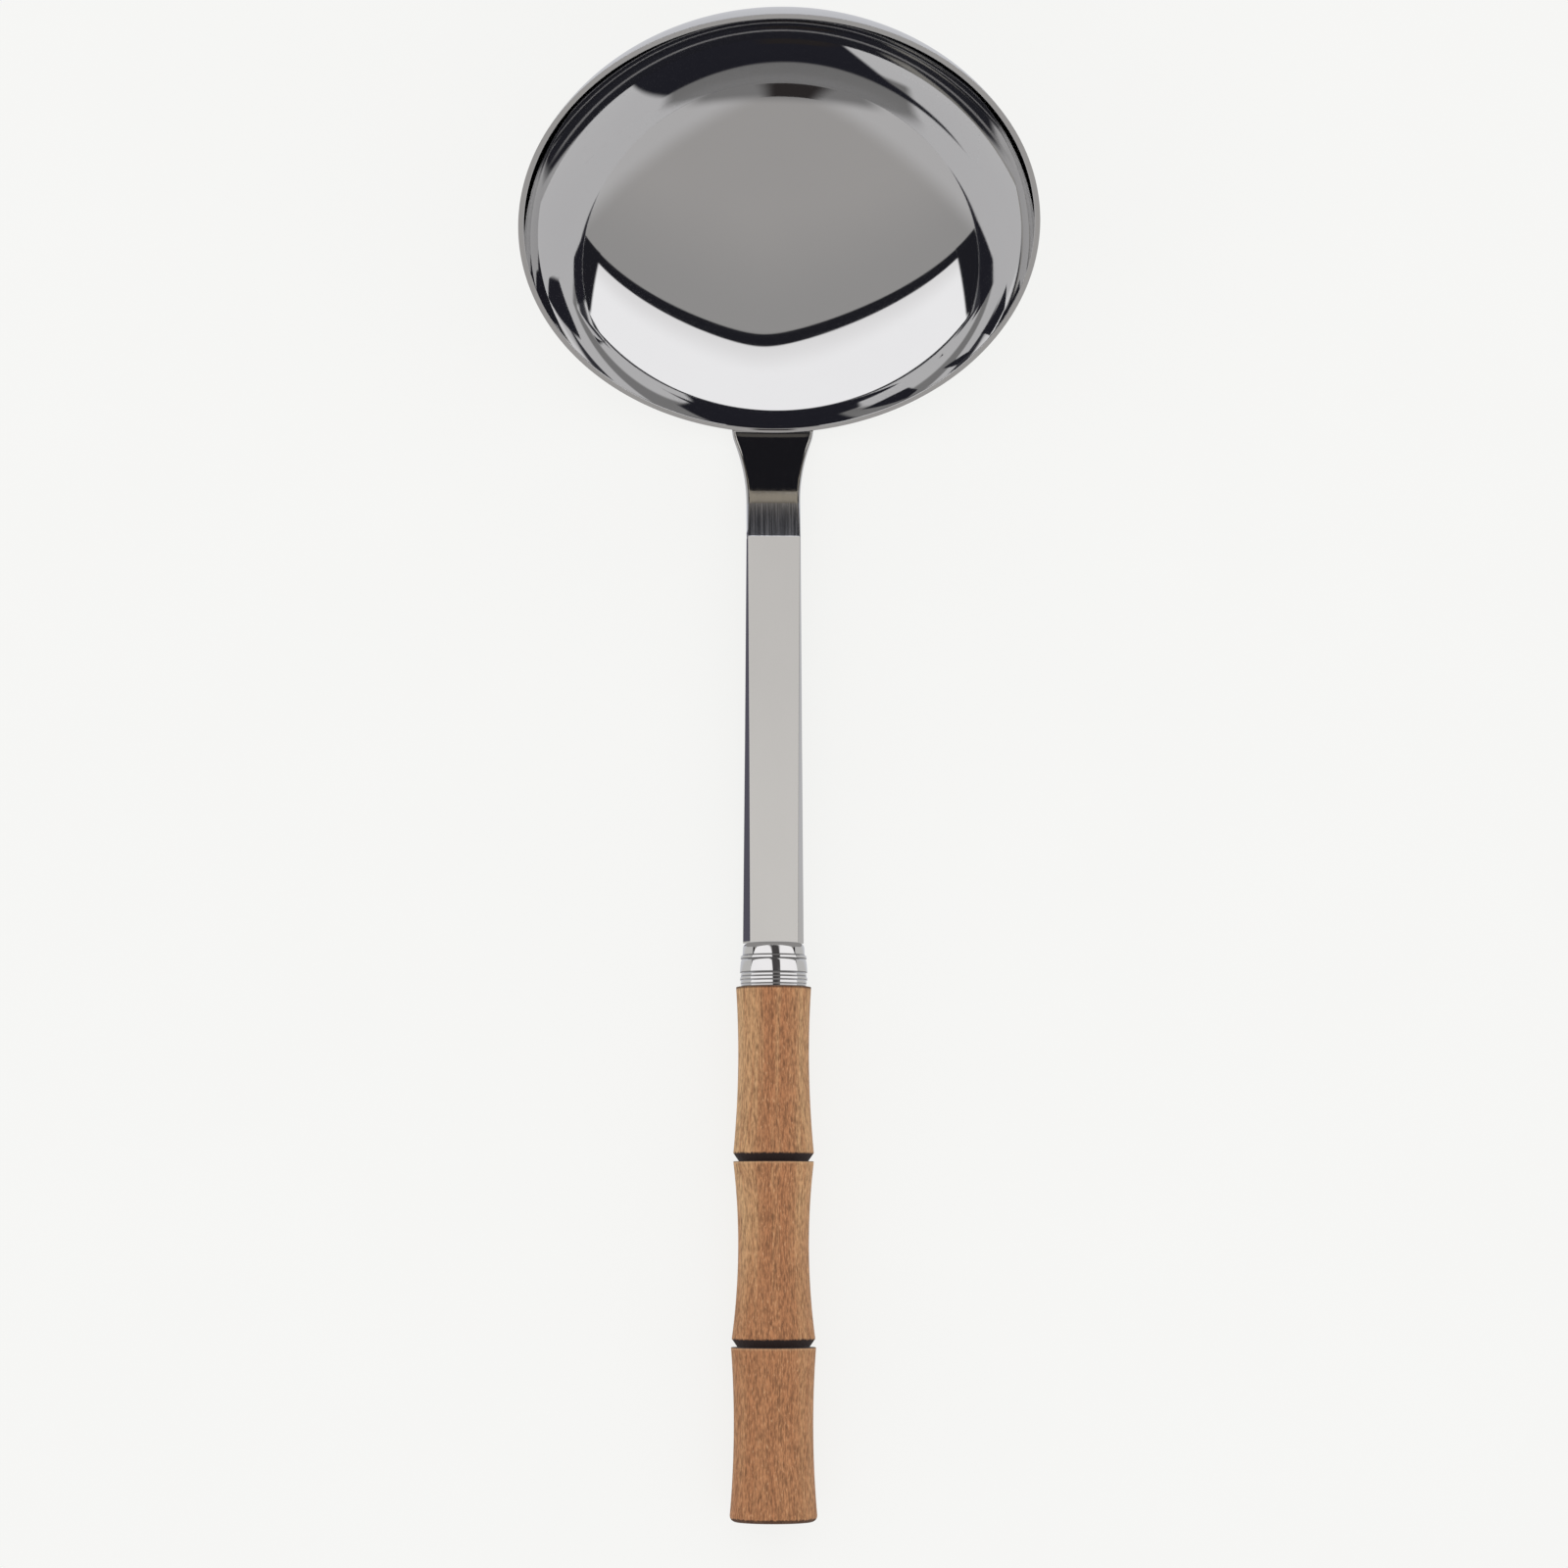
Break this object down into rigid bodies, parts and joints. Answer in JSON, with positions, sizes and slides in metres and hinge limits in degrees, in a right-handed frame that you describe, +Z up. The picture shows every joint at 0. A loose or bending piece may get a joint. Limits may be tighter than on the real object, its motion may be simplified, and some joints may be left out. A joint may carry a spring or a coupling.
{
  "type": "soup ladle",
  "caption": "Soup ladle with a round polished steel bowl, a flat forged stem, a beaded ferrule and a turned wooden handle with waisted segments.",
  "frame": {"origin": "centre of the ladle's box in plan, on the table that it lies on", "axes": "+Y from the butt of the handle to the bowl, +Z up from the table with the bowl's mouth upwards, X across the bowl"},
  "size_m": [0.098, 0.278, 0.0787],
  "materials": {
    "bowl_steel": "mirror polished stainless steel",
    "stem_steel": "mirror polished stainless steel, brushed at the neck bend",
    "ferrule_steel": "polished stainless steel",
    "handle_wood": "fine-grained oiled hardwood with scorched grooves",
    "cured_adhesive": "cured epoxy"
  },
  "bodies": {
    "root": {"bowl": "bowl_steel", "stem": "stem_steel", "ferrule": "ferrule_steel", "handle": "handle_wood", "tang_adhesive": "cured_adhesive"}
  },
  "joints": []
}
